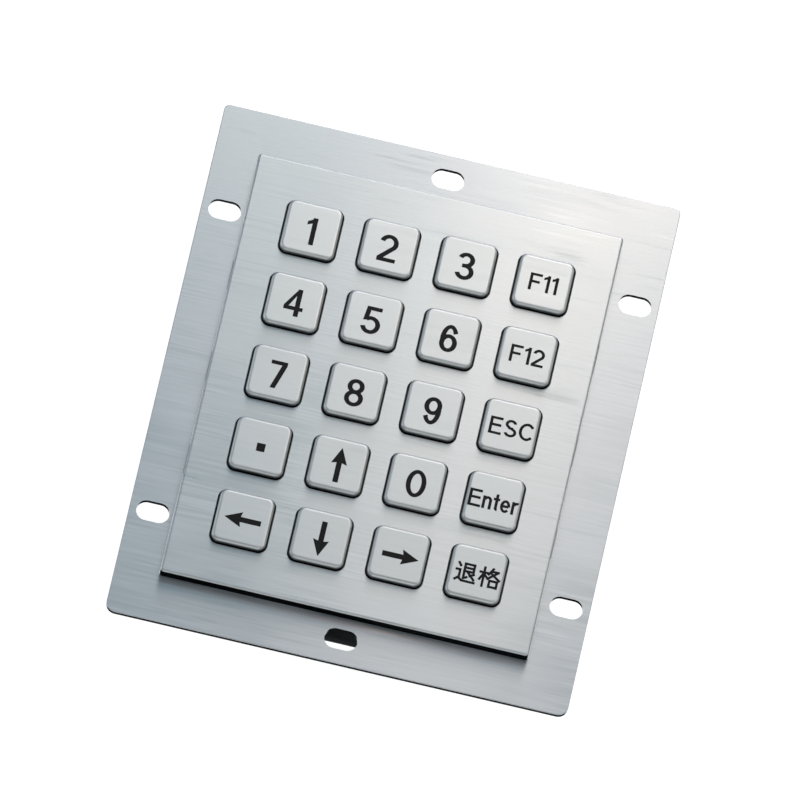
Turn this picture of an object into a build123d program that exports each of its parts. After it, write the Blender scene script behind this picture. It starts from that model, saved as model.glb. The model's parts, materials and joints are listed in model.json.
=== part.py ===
from build123d import *
import os
from math import sqrt

# Stainless keypad access reader for panel mounting, face up: +Z out of the front, +X to the
# right, +Y to the top. The origin is the centre of the four side slots, on the flange's back
# face. All sizes are in millimetres.

# ---- key grid -------------------------------------------------------------------------------
key_pitch = 20.0            # centre to centre, across and down
key_cap_size = 13.9         # side of the square cap
key_cap_corner_r = 1.9
key_cap_edge_r = 0.8        # rounding of the cap's top edge
key_gap = 0.45              # running gap all round the cap in its window
key_proud = 1.9             # cap top above the face
key_travel = 0.6
key_skirt_reach = 1.15      # how far the skirt reaches past the cap on each side
key_skirt_t = 1.2
key_skirt_clearance = 0.2   # skirt to the guide frame
key_stop_gap = 0.05         # skirt to the underside of the face
key_wall_t = 1.5            # wall of the hollow cap
key_top_t = 2.0
key_plunger_d = 6.4

# ---- face box -------------------------------------------------------------------------------
face_margin_x = 9.9         # outermost window edge to the side of the face
face_margin_y = 10.3
face_rise = 3.4             # face above the flange's front
face_sheet_t = 1.2
face_corner_r = 0.8
face_bend_r = 0.6
face_shift_x = -0.7         # the face box stands a little left of the slot pattern's centre
wall_depth = 17.0           # box walls behind the flange's back face
window_edge_break = 0.1

# ---- mounting flange ------------------------------------------------------------------------
flange_border_x = 12.0      # face edge to flange edge
flange_border_y = 12.3
flange_t = 1.5
flange_top_corner_r = 1.5
flange_bottom_corner_r = 2.6
flange_edge_break = 0.2
flange_window_clearance = 0.1
slot_length = 8.5
slot_width = 5.3
side_slot_inset_x = 6.1     # slot centre to the flange's side edge
side_slot_inset_y = 28.3    # slot centre to the flange's top or bottom edge
end_slot_inset_y = 6.5
weld_length = 8.0
weld_width = 1.4            # from the window's edge outward, in a notch of the flange's back
weld_depth = 0.8
weld_recess = 0.05          # bead below the flange's back face, so that the flange lies flat
weld_crown_r = 0.35
weld_spacing_y = 25.4       # three beads along each side wall
weld_spacing_x = 56.8       # two beads along the top and the bottom wall

# ---- guide frame, keymat and circuit board --------------------------------------------------
inner_fit = 0.3             # inner plates to the box walls
dome_gap = 0.05             # dome top to the key's plunger
dome_height = 1.2
dome_base_d = 12.0
dome_top_d = 8.0
dome_wall_t = 0.5
pill_d = 5.0
mat_t = 1.2
pad_d = 6.0
pad_t = 0.1
board_t = 1.6
film_t = 0.3
film_overlap = 1.0          # film past the edge of the backing plate's opening
backing_t = 1.5
backing_opening_w = 68.0
backing_opening_h = 31.0

# ---- fasteners ------------------------------------------------------------------------------
stud_d = 3.0
stud_hole_clearance = 0.2   # radial, in every plate that a stud passes through
thread_clearance = 0.05     # radial, in nuts and standoffs
washer_d = 7.0
washer_t = 0.5
nut_across_flats = 5.5
nut_t = 2.4
stud_past_nut = 1.5
screw_shank_length = 6.0
screw_head_d = 5.6
screw_head_t = 1.8
screw_recess_span = 3.0
screw_recess_width = 0.8
screw_recess_depth = 1.0
screw_head_r = 0.9          # rounding of the head's back edge

# ---- rear cover and cable outlet ------------------------------------------------------------
cover_t = 1.0
cover_lip_t = 1.0
cover_lip_h = 5.0
cover_lip_fit = 0.2
cover_corner_r = 0.8
outlet_inset_x = 20.9       # outlet's centre to the lip's inner side, at the upper right
outlet_inset_y = 19.3
grommet_bore_d = 6.0
grommet_wall_t = 1.5
grommet_collar_reach = 1.5
grommet_outer_t = 1.5
grommet_inner_t = 2.0
grommet_fit = 0.1
grommet_edge_r = 0.75

# ---- parts on the back of the circuit board, placed from the film's opening ------------------
chip_size = 9.0
chip_t = 1.4
chip_right = 6.0            # chip's middle, right of the opening's middle
chip_up = 2.0
chip_standoff = 0.1
chip_mark_d = 0.7
chip_mark_depth = 0.1
chip_mark_inset = 1.4
lead_count_per_side = 8
lead_pitch = 0.8
lead_width = 0.35
lead_t = 0.15
lead_reach = 1.2
lead_foot = 0.6
crystal_length = 11.0
crystal_width = 4.6
crystal_height = 3.6
crystal_base_t = 0.5
crystal_base_reach = 0.4
crystal_edge_r = 0.4
crystal_left = 10.0         # crystal's middle, left of the opening's middle
crystal_up = 6.0
header_pin_count = 5
header_pin_pitch = 2.54
header_pin_size = 0.64
header_depth = 5.8
header_base_t = 3.2
header_latch_t = 0.8
header_height = 8.0
header_pin_fit = 0.02
header_left = 8.0           # header's middle, left of the opening's middle
header_inset = 3.6          # header's near side to the opening's lower edge
can_d = 5.0
can_height = 5.4
can_base_t = 0.8
can_base_reach = 0.2
can_edge_r = 0.2
can_inset = 8.0             # can's foot to the opening's right edge
capacitor_length = 2.0
capacitor_width = 1.25
capacitor_t = 0.9
capacitor_pitch = 3.4
capacitor_count = 5
capacitor_side_inset = 1.5  # last capacitor to the opening's right edge
capacitor_top_inset = 9.5
resistor_length = 1.6
resistor_width = 0.8
resistor_t = 0.45
resistor_pitch = 2.6
resistor_count = 9
resistor_inset = 6.0        # resistors to the opening's left edge

# ---- construction ---------------------------------------------------------------------------
cut_overshoot = 1.0         # how far a cutting solid runs past what it cuts
same_height = 0.001         # edges this close to a height lie at that height

# ---- legends: one key per name, row by row from the top -------------------------------------
key_names = [
    ["1", "2", "3", "f11"],
    ["4", "5", "6", "f12"],
    ["7", "8", "9", "esc"],
    ["dot", "up", "0", "enter"],
    ["left", "down", "right", "backspace"],
]

# ---- sizes that follow ----------------------------------------------------------------------
key_rows = len(key_names)
key_columns = len(key_names[0])
key_window = key_cap_size + 2 * key_gap
key_window_corner_r = key_cap_corner_r + key_gap
key_skirt_size = key_cap_size + 2 * key_skirt_reach
key_skirt_corner_r = key_cap_corner_r + key_skirt_reach / 2
frame_window = key_skirt_size + 2 * key_skirt_clearance
frame_window_corner_r = key_skirt_corner_r + key_skirt_clearance

face_w = (key_columns - 1) * key_pitch + key_window + 2 * face_margin_x
face_h = (key_rows - 1) * key_pitch + key_window + 2 * face_margin_y
inner_w = face_w - 2 * face_sheet_t
inner_h = face_h - 2 * face_sheet_t
plate_w = inner_w - 2 * inner_fit
plate_h = inner_h - 2 * inner_fit
flange_w = face_w + 2 * flange_border_x
flange_h = face_h + 2 * flange_border_y

z_face = flange_t + face_rise
z_face_under = z_face - face_sheet_t
z_key_top = z_face + key_proud
z_skirt_top = z_face_under - key_stop_gap
z_skirt_bottom = z_skirt_top - key_skirt_t
z_dome_top = z_skirt_bottom - dome_gap
z_mat_top = z_dome_top - dome_height
z_board_top = z_mat_top - mat_t
z_board_bottom = z_board_top - board_t
z_film_bottom = z_board_bottom - film_t
z_backing_bottom = z_film_bottom - backing_t
z_washer_bottom = z_backing_bottom - washer_t
z_nut_bottom = z_washer_bottom - nut_t
z_stud_end = z_nut_bottom - stud_past_nut
z_cover_inside = -wall_depth
z_cover_back = z_cover_inside - cover_t

# Studs stand in the rim between the outermost guide windows and the cover's lip, at the
# corners and the middle of each side, and at four crossings of the guide frame's ribs.
rim_inner_x = (key_columns - 1) / 2 * key_pitch + frame_window / 2
rim_inner_y = (key_rows - 1) / 2 * key_pitch + frame_window / 2
lip_outer_x = inner_w / 2 - cover_lip_fit
lip_outer_y = inner_h / 2 - cover_lip_fit
lip_inner_x = lip_outer_x - cover_lip_t
lip_inner_y = lip_outer_y - cover_lip_t
outlet_x = lip_inner_x - outlet_inset_x
outlet_y = lip_inner_y - outlet_inset_y
stud_x = (rim_inner_x + lip_inner_x) / 2
stud_y = (rim_inner_y + lip_inner_y) / 2
corner_spots = [(x, y) for x in (-stud_x, stud_x) for y in (-stud_y, stud_y)]
side_spots = [(-stud_x, 0), (stud_x, 0), (0, -stud_y), (0, stud_y)]
crossing_spots = [(x, y) for x in (-key_pitch, key_pitch) for y in (-key_pitch / 2, key_pitch / 2)]
nut_spots = side_spots + crossing_spots
stud_spots = corner_spots + nut_spots
stud_hole_d = stud_d + 2 * stud_hole_clearance
thread_bore_d = stud_d + 2 * thread_clearance

# The backing plate's opening is centred midway between the two lowest rows of keys. The film's
# smaller opening bounds the space for parts on the board.
backing_opening_y = key_pitch * (1 - key_rows / 2)
film_opening_w = backing_opening_w - 2 * film_overlap
film_opening_h = backing_opening_h - 2 * film_overlap
opening_right = film_opening_w / 2
opening_left = -opening_right
opening_top = backing_opening_y + film_opening_h / 2
opening_bottom = backing_opening_y - film_opening_h / 2

grommet_groove_d = grommet_bore_d + 2 * grommet_wall_t
grommet_collar_d = grommet_groove_d + 2 * grommet_collar_reach
outlet_hole_d = grommet_groove_d + 2 * grommet_fit


def key_spot(row, column):
    """Centre of a key in the face's own plan."""
    x = (column - (key_columns - 1) / 2) * key_pitch
    y = ((key_rows - 1) / 2 - row) * key_pitch
    return x, y


key_spots = [key_spot(row, column) for row in range(key_rows) for column in range(key_columns)]


def slab(sketch, z_low, z_high):
    """A flat outline made solid between two heights."""
    return extrude(Pos(0, 0, z_low) * sketch, z_high - z_low)


def rod(diameter, x, y, z_low, z_high):
    return slab(Pos(x, y) * Circle(diameter / 2), z_low, z_high)


def cone(d_low, d_high, x, y, z_low, z_high):
    height = z_high - z_low
    return Pos(x, y, z_low + height / 2) * Cone(d_low / 2, d_high / 2, height)


def block(w, d, x, y, z_low, z_high):
    return slab(Pos(x, y) * Rectangle(w, d), z_low, z_high)


def hexagon(across_flats, x, y, z_low, z_high):
    """A hexagonal prism with two flats facing left and right."""
    return slab(Pos(x, y) * RegularPolygon(across_flats / sqrt(3), 6, rotation=30), z_low, z_high)


def through(sketch, z_low, z_high):
    """A cutting solid that runs a little past both heights."""
    return slab(sketch, z_low - cut_overshoot, z_high + cut_overshoot)


def hole(diameter, x, y, z_low, z_high):
    return through(Pos(x, y) * Circle(diameter / 2), z_low, z_high)


def cutout(w, d, x, y, z_low, z_high):
    return through(Pos(x, y) * Rectangle(w, d), z_low, z_high)


def group(solids):
    """Separate solids kept in one node."""
    return Compound([s.solid() for s in solids])


def edges_at(part, z):
    return part.edges().filter_by_position(Axis.Z, z - same_height, z + same_height)


def centred(count, pitch):
    """Places of a row of equal steps, either side of zero."""
    return [(i - (count - 1) / 2) * pitch for i in range(count)]


# ---- sheet metal ----------------------------------------------------------------------------
# Each weld: a place on the outside of a wall, and the turn that points +X away from the wall.
weld_spots = []
for side in (-1, 1):
    for y in centred(3, weld_spacing_y):
        weld_spots.append((side * face_w / 2, y, 90 - 90 * side))
    for x in centred(2, weld_spacing_x):
        weld_spots.append((x, side * face_h / 2, 90 * side))
weld_reach = flange_window_clearance + weld_width


def weld_strip(x, y, turn, z_low, z_high):
    """The room of one weld, from the wall across into the flange."""
    strip = block(weld_reach, weld_length, weld_reach / 2, 0, z_low, z_high)
    return Pos(x, y) * Rot(0, 0, turn) * strip


def make_mounting_flange():
    """Flat plate with rounded corners, a window for the box, weld notches and six slots."""
    outline = Rectangle(flange_w, flange_h)
    top_corners = outline.vertices().group_by(Axis.Y)[-1]
    outline = fillet(top_corners, flange_top_corner_r)
    bottom_corners = outline.vertices().group_by(Axis.Y)[0]
    outline = fillet(bottom_corners, flange_bottom_corner_r)
    plate = slab(outline, 0, flange_t)
    plate = fillet(edges_at(plate, flange_t), flange_edge_break)
    window_w = face_w + 2 * flange_window_clearance
    window_h = face_h + 2 * flange_window_clearance
    window = RectangleRounded(window_w, window_h, face_corner_r + flange_window_clearance)
    plate -= through(Pos(face_shift_x, 0) * window, 0, flange_t)
    for x, y, turn in weld_spots:
        plate -= weld_strip(face_shift_x + x, y, turn, -cut_overshoot, weld_depth)
    slot_x = flange_w / 2 - side_slot_inset_x
    slot_y = flange_h / 2 - side_slot_inset_y
    end_y = flange_h / 2 - end_slot_inset_y
    spots = [(x, y) for x in (-slot_x, slot_x) for y in (-slot_y, slot_y)]
    for x, y in spots + [(0, -end_y), (0, end_y)]:
        plate -= through(Pos(x, y) * SlotOverall(slot_length, slot_width), 0, flange_t)
    return plate


def make_weld_beads():
    """Short welds between the box walls and the flange, in its notches and just below flush."""
    beads = []
    for x, y, turn in weld_spots:
        bead = weld_strip(x, y, turn, weld_recess, weld_depth)
        beads.append(fillet(edges_at(bead, weld_recess), weld_crown_r))
    return group(beads)


def make_face_shell():
    """The raised face with its folded walls, which pass through the flange to the rear."""
    shell = slab(RectangleRounded(face_w, face_h, face_corner_r), -wall_depth, z_face)
    shell = fillet(edges_at(shell, z_face), face_bend_r)
    shell -= slab(Rectangle(inner_w, inner_h), -wall_depth - cut_overshoot, z_face_under)
    window = RectangleRounded(key_window, key_window, key_window_corner_r)
    flared = key_window + 2 * window_edge_break
    mouth = RectangleRounded(flared, flared, key_window_corner_r + window_edge_break)
    rim = loft([Pos(0, 0, z_face - window_edge_break) * window, Pos(0, 0, z_face) * mouth])
    cutter = through(window, z_face_under, z_face) + rim
    for x, y in key_spots:
        shell -= Pos(x, y) * cutter
    return shell


# ---- keys -----------------------------------------------------------------------------------
def make_key():
    """Hollow square cap with a retaining skirt below the face and a plunger inside."""
    cap = RectangleRounded(key_cap_size, key_cap_size, key_cap_corner_r)
    key = slab(cap, z_skirt_bottom, z_key_top)
    key = fillet(edges_at(key, z_key_top), key_cap_edge_r)
    skirt = RectangleRounded(key_skirt_size, key_skirt_size, key_skirt_corner_r)
    key += slab(skirt, z_skirt_bottom, z_skirt_top)
    pocket = key_cap_size - 2 * key_wall_t
    hollow = block(pocket, pocket, 0, 0, z_skirt_bottom, z_key_top - key_top_t)
    hollow -= rod(key_plunger_d, 0, 0, z_skirt_bottom, z_key_top - key_top_t)
    return key - hollow


# ---- inner stack ----------------------------------------------------------------------------
def stack_plate(z_low, z_high):
    """A plate that fills the box in plan, with the stud holes through it."""
    plate = block(plate_w, plate_h, 0, 0, z_low, z_high)
    for x, y in stud_spots:
        plate -= hole(stud_hole_d, x, y, z_low, z_high)
    return plate


def make_key_frame():
    """Moulded frame that spaces the face from the keymat and guides the key skirts."""
    frame = stack_plate(z_mat_top, z_face_under)
    window = RectangleRounded(frame_window, frame_window, frame_window_corner_r)
    for x, y in key_spots:
        frame -= through(Pos(x, y) * window, z_mat_top, z_face_under)
    return frame


def make_silicone_keymat():
    """One moulded sheet with a hollow dome and a contact pill under each key."""
    mat = stack_plate(z_board_top, z_mat_top)
    hollow_base_d = dome_base_d - 2 * dome_wall_t
    hollow_top_d = dome_top_d - 2 * dome_wall_t
    z_hollow_top = z_dome_top - dome_wall_t
    z_pill = z_board_top + pad_t + key_travel
    hollow = cone(hollow_base_d, hollow_top_d, 0, 0, z_board_top, z_hollow_top)
    hollow -= rod(pill_d, 0, 0, z_pill, z_hollow_top)
    for x, y in key_spots:
        mat += cone(dome_base_d, dome_top_d, x, y, z_mat_top, z_dome_top)
        mat -= Pos(x, y) * hollow
    return mat


def make_circuit_board():
    return stack_plate(z_board_bottom, z_board_top)


def make_contact_pads():
    return group([rod(pad_d, x, y, z_board_top, z_board_top + pad_t) for x, y in key_spots])


def make_insulating_film():
    """Thin film that keeps the steel plate off the board's tracks."""
    film = stack_plate(z_film_bottom, z_board_bottom)
    opening = Pos(0, backing_opening_y) * Rectangle(film_opening_w, film_opening_h)
    return film - through(opening, z_film_bottom, z_board_bottom)


def make_backing_plate():
    """Steel plate that clamps board, keymat and guide frame against the face."""
    plate = stack_plate(z_backing_bottom, z_film_bottom)
    opening = Pos(0, backing_opening_y) * Rectangle(backing_opening_w, backing_opening_h)
    return plate - through(opening, z_backing_bottom, z_film_bottom)


# ---- fasteners ------------------------------------------------------------------------------
def make_clamp_studs():
    return group([rod(stud_d, x, y, z_stud_end, z_face_under) for x, y in stud_spots])


def make_clamp_washers():
    z_low, z_high = z_washer_bottom, z_backing_bottom

    def washer(x, y):
        return rod(washer_d, x, y, z_low, z_high) - hole(stud_hole_d, x, y, z_low, z_high)

    return group([washer(x, y) for x, y in stud_spots])


def threaded_hexagon(x, y, z_low, z_high):
    return hexagon(nut_across_flats, x, y, z_low, z_high) - hole(thread_bore_d, x, y, z_low, z_high)


def make_clamp_nuts():
    return group([threaded_hexagon(x, y, z_nut_bottom, z_washer_bottom) for x, y in nut_spots])


def make_cover_standoffs():
    """Hexagonal spacers screwed on the corner studs; the rear cover is screwed to them."""
    return group([threaded_hexagon(x, y, z_cover_inside, z_washer_bottom) for x, y in corner_spots])


def make_cover_screws():
    """Pan-head screws with a cross recess."""
    z_head = z_cover_back - screw_head_t
    z_recess = z_head + screw_recess_depth
    head = rod(screw_head_d, 0, 0, z_head, z_cover_back)
    head = fillet(edges_at(head, z_head), screw_head_r)
    for turn in (0, 90):
        arm = block(screw_recess_span, screw_recess_width, 0, 0, z_head - cut_overshoot, z_recess)
        head -= Rot(0, 0, turn) * arm
    screw = head + rod(stud_d, 0, 0, z_cover_back, z_cover_back + screw_shank_length)
    return group([Pos(x, y) * screw for x, y in corner_spots])


# ---- rear cover and cable outlet ------------------------------------------------------------
def make_rear_cover():
    """Lid on the ends of the box walls, with a lip inside them and the cable outlet's hole."""
    z_lip = z_cover_inside + cover_lip_h
    lip = block(2 * lip_outer_x, 2 * lip_outer_y, 0, 0, z_cover_inside, z_lip)
    lip -= cutout(2 * lip_inner_x, 2 * lip_inner_y, 0, 0, z_cover_inside, z_lip)
    cover = slab(RectangleRounded(face_w, face_h, cover_corner_r), z_cover_back, z_cover_inside) + lip
    for x, y in corner_spots:
        cover -= hole(stud_hole_d, x, y, z_cover_back, z_cover_inside)
    return cover - hole(outlet_hole_d, outlet_x, outlet_y, z_cover_back, z_cover_inside)


def make_cable_grommet():
    """Rubber ring snapped into the cover, with an open bore for the cable."""
    z_outer = z_cover_back - grommet_outer_t
    z_inner = z_cover_inside + grommet_inner_t
    collar = rod(grommet_collar_d, 0, 0, z_outer, z_cover_back)
    collar = fillet(edges_at(collar, z_outer), grommet_edge_r)
    ring = collar + rod(grommet_groove_d, 0, 0, z_cover_back, z_cover_inside)
    ring += cone(grommet_collar_d, grommet_groove_d, 0, 0, z_cover_inside, z_inner)
    ring -= hole(grommet_bore_d, 0, 0, z_outer, z_inner)
    return Pos(outlet_x, outlet_y) * ring


# ---- parts on the back of the circuit board -------------------------------------------------
chip_spot = Pos(chip_right, backing_opening_y + chip_up)
z_chip_top = z_board_bottom - chip_standoff
z_chip_bottom = z_chip_top - chip_t


def make_encoder_chip():
    """Square package with a round mark at its first pin."""
    body = block(chip_size, chip_size, 0, 0, z_chip_bottom, z_chip_top)
    mark = chip_size / 2 - chip_mark_inset
    body -= rod(chip_mark_d, -mark, mark, z_chip_bottom - cut_overshoot, z_chip_bottom + chip_mark_depth)
    return chip_spot * body


def make_encoder_leads():
    """Bent leads on the four sides of the chip: shoulder, riser and foot."""
    z_shoulder = (z_chip_bottom + z_chip_top) / 2
    edge = chip_size / 2
    bend = edge + lead_reach - lead_foot
    toe = edge + lead_reach

    def bar(x_start, x_end, offset, z_low, z_high):
        return block(x_end - x_start, lead_width, (x_start + x_end) / 2, offset, z_low, z_high)

    def lead(offset, turn):
        shoulder = bar(edge, bend, offset, z_shoulder - lead_t, z_shoulder)
        riser = bar(bend - lead_t, bend, offset, z_shoulder - lead_t, z_board_bottom)
        foot = bar(bend - lead_t, toe, offset, z_board_bottom - lead_t, z_board_bottom)
        return chip_spot * Rot(0, 0, turn) * (shoulder + riser + foot)

    offsets = centred(lead_count_per_side, lead_pitch)
    return group([lead(offset, turn) for turn in (0, 90, 180, 270) for offset in offsets])


def make_crystal():
    """Low metal can on a wider base."""
    can = SlotOverall(crystal_length, crystal_width)
    base = SlotOverall(crystal_length + 2 * crystal_base_reach, crystal_width + 2 * crystal_base_reach)
    z_can = z_board_bottom - crystal_height
    solid = slab(can, z_can, z_board_bottom - crystal_base_t)
    solid = fillet(edges_at(solid, z_can), crystal_edge_r)
    solid += slab(base, z_board_bottom - crystal_base_t, z_board_bottom)
    return Pos(-crystal_left, backing_opening_y + crystal_up) * solid


header_y = opening_bottom + header_inset + header_depth / 2
header_spot = Pos(-header_left, header_y)
header_offsets = centred(header_pin_count, header_pin_pitch)
header_length = header_pin_count * header_pin_pitch
z_header = z_board_bottom - header_height


def make_signal_header():
    """Pin header body with a latch wall behind the pins."""
    z_base = z_board_bottom - header_base_t
    body = block(header_length, header_depth, 0, 0, z_base, z_board_bottom)
    latch_y = (header_depth - header_latch_t) / 2
    body += block(header_length, header_latch_t, 0, latch_y, z_header, z_board_bottom)
    pin_hole = header_pin_size + 2 * header_pin_fit
    for x in header_offsets:
        body -= cutout(pin_hole, pin_hole, x, 0, z_base, z_board_bottom)
    return header_spot * body


def make_header_pins():
    pin = block(header_pin_size, header_pin_size, 0, 0, z_header, z_board_bottom)
    return group([header_spot * Pos(x, 0) * pin for x in header_offsets])


def make_bulk_capacitor():
    """Round can on a square foot, level with the header."""
    foot_size = can_d + 2 * can_base_reach
    can_x = opening_right - can_inset - foot_size / 2
    z_can = z_board_bottom - can_height
    foot = block(foot_size, foot_size, can_x, header_y, z_board_bottom - can_base_t, z_board_bottom)
    can = rod(can_d, can_x, header_y, z_can, z_board_bottom - can_base_t)
    return foot + fillet(edges_at(can, z_can), can_edge_r)


def make_capacitors():
    """A row of small chip parts, side by side."""
    last_x = opening_right - capacitor_side_inset - capacitor_width / 2
    y = opening_top - capacitor_top_inset - capacitor_length / 2
    z_low = z_board_bottom - capacitor_t
    chip = block(capacitor_width, capacitor_length, last_x, y, z_low, z_board_bottom)
    return group([Pos(-i * capacitor_pitch, 0) * chip for i in range(capacitor_count)])


def make_resistors():
    """A column of small chip parts, one above the other."""
    x = opening_left + resistor_inset + resistor_length / 2
    z_low = z_board_bottom - resistor_t
    chip = block(resistor_length, resistor_width, x, backing_opening_y, z_low, z_board_bottom)
    return group([Pos(0, y) * chip for y in centred(resistor_count, resistor_pitch)])


# ---- write every node -----------------------------------------------------------------------
os.makedirs("parts", exist_ok=True)


def write(name, shape):
    export_step(shape, f"parts/{name}.step")
    print(name)


write("mounting_flange", make_mounting_flange())

in_face_box = {
    "face_shell": make_face_shell,
    "weld_beads": make_weld_beads,
    "key_frame": make_key_frame,
    "silicone_keymat": make_silicone_keymat,
    "circuit_board": make_circuit_board,
    "contact_pads": make_contact_pads,
    "insulating_film": make_insulating_film,
    "backing_plate": make_backing_plate,
    "clamp_studs": make_clamp_studs,
    "clamp_washers": make_clamp_washers,
    "clamp_nuts": make_clamp_nuts,
    "cover_standoffs": make_cover_standoffs,
    "cover_screws": make_cover_screws,
    "rear_cover": make_rear_cover,
    "cable_grommet": make_cable_grommet,
    "encoder_chip": make_encoder_chip,
    "encoder_leads": make_encoder_leads,
    "crystal": make_crystal,
    "signal_header": make_signal_header,
    "header_pins": make_header_pins,
    "bulk_capacitor": make_bulk_capacitor,
    "capacitors": make_capacitors,
    "resistors": make_resistors,
}
for name, make in in_face_box.items():
    write(name, Pos(face_shift_x, 0, 0) * make())

key = make_key()
for row in range(key_rows):
    for column in range(key_columns):
        x, y = key_spot(row, column)
        write(f"key_{key_names[row][column]}", Pos(face_shift_x + x, y, 0) * key)
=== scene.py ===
# %% [markdown]
# # A stainless panel keypad
# The keypad is a brushed steel flange with a raised face, twenty square steel keys and a closed
# steel box behind. Every solid piece already stands in the frame, at its real size. This lesson
# gives each piece its finish, paints the legends on the keys, makes the soft sheet under them, and
# sets floor, lamps and camera. We work in metres, so one named value turns millimetres into metres.

# %% The frame
import json
import math

import bmesh
import bpy
from mathutils import Matrix, Vector


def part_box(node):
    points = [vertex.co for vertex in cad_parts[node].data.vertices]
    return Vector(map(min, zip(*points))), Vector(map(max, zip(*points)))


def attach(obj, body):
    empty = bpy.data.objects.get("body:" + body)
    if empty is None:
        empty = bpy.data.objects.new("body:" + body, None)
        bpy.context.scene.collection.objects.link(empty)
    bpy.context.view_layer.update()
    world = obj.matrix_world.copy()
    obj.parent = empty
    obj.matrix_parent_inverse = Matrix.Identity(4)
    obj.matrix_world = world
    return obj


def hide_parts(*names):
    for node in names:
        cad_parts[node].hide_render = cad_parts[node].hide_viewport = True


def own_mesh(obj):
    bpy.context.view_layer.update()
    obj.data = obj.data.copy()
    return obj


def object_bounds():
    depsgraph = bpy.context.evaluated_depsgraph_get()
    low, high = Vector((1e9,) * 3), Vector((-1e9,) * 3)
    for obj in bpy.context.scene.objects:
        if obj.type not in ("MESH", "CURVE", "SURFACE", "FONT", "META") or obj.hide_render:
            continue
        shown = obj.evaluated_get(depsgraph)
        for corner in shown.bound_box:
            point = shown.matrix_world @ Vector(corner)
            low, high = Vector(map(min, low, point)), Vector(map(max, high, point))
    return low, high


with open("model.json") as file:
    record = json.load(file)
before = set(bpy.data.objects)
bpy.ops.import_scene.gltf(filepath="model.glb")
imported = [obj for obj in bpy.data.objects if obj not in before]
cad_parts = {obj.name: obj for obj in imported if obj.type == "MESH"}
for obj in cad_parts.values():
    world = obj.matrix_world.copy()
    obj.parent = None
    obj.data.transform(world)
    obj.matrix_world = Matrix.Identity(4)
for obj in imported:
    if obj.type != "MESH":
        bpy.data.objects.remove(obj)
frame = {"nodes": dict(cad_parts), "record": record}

mm = 0.001
cad_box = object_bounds()
nodes = frame["nodes"]
print("size in mm:", [round((high - low) / mm, 1) for low, high in zip(*cad_box)])

# %% [markdown]
# ## Small helpers
# Three jobs come back all through the lesson: linking something new to the scene, turning a
# finished bmesh into mesh data, and asking the frame for the corners of a piece. Each is a short
# function, so that the later cells say only what is special about a piece.

# %% Small helpers
def put_in_scene(name, data):
    thing = bpy.data.objects.new(name, data)
    bpy.context.scene.collection.objects.link(thing)
    return thing


def as_data(name, mesh):
    """Mesh data made from a bmesh, which is freed."""
    data = bpy.data.meshes.new(name)
    mesh.to_mesh(data)
    mesh.free()
    return data


def corners_of(node):
    """The lowest and the highest corner of a piece of the frame."""
    return [Vector(corner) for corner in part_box(node)]


print("the face's top in mm:", round(corners_of("face_shell")[1].z / mm, 2))

# %% [markdown]
# ## Camera
# A keypad like this is shown from far away with a long lens, so its edges stay parallel. It is
# easiest to say how the keypad is turned as the camera sees it: tilted back about X, swung a
# little about Y, and rolled clockwise about Z. The camera's own placing is the reverse of that.

# %% Camera
keypad_turns = (("X", -20.31), ("Y", 4.62), ("Z", -12.29))
aim_right, aim_up = 1.42 * mm, 2.62 * mm
camera_distance = 4.0
lens_length, film_width = 715.1, 36
far_clip = 100

as_seen = Matrix.Identity(3)
for axis, degrees in keypad_turns:
    as_seen = as_seen @ Matrix.Rotation(math.radians(degrees), 3, axis)
to_keypad = as_seen.transposed()
camera_data = bpy.data.cameras.new("camera")
camera_data.lens = lens_length
camera_data.sensor_width = film_width
camera_data.clip_end = far_clip
camera = put_in_scene("camera", camera_data)
place = to_keypad @ Vector((aim_right, aim_up, camera_distance))
camera.matrix_world = Matrix.Translation(place) @ to_keypad.to_4x4()
bpy.context.scene.camera = camera
bpy.context.scene.view_settings.view_transform = "Standard"
print("camera at", [round(v, 3) for v in place])

# %% [markdown]
# ## Sums on sockets
# Shader maths is easier to read as Python sums than as rows of Math nodes. A Wire wraps one
# output socket and turns + - * into Math nodes. A Finish is one material, and its node()
# method makes any other node: settings first, then the values or links of its sockets.

# %% Wire
class Wire:
    """An output socket that Python can do sums with."""

    def __init__(self, finish, socket):
        self.finish = finish
        self.socket = socket

    def sum(self, operation, first, second):
        return self.finish.node("Math", {"operation": operation}, {0: first, 1: second})

    def __add__(self, other):
        return self.sum("ADD", self, other)

    def __radd__(self, other):
        return self.sum("ADD", other, self)

    def __sub__(self, other):
        return self.sum("SUBTRACT", self, other)

    def __rsub__(self, other):
        return self.sum("SUBTRACT", other, self)

    def __mul__(self, other):
        return self.sum("MULTIPLY", self, other)

    def __rmul__(self, other):
        return self.sum("MULTIPLY", other, self)

    def __abs__(self):
        return self.finish.node("Math", {"operation": "ABSOLUTE"}, {0: self})


print("a Wire adds, subtracts, multiplies and takes the size of a value")

# %% Finish
class Finish:
    """A material made of nodes, for one finish of the keypad."""

    def __init__(self, tree):
        self.tree = tree
        tree.nodes.clear()

    def node(self, kind, settings=None, sockets=None, output=0):
        made = self.tree.nodes.new("ShaderNode" + kind)
        for name, value in (settings or {}).items():
            if name == "stops":
                set_stops(made.color_ramp, value)
            else:
                setattr(made, name, value)
        for name, value in (sockets or {}).items():
            self.feed(find_socket(made.inputs, name), value)
        if made.outputs:
            return Wire(self, find_socket(made.outputs, output))

    def feed(self, socket, value):
        if isinstance(value, Wire):
            self.tree.links.new(value.socket, socket)
        else:
            socket.default_value = value


def find_socket(sockets, name):
    """A socket by its number, or by its identifier or name."""
    if isinstance(name, int):
        return sockets[name]
    for socket in sockets:
        if socket.identifier == name:
            return socket
    return sockets[name]


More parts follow.
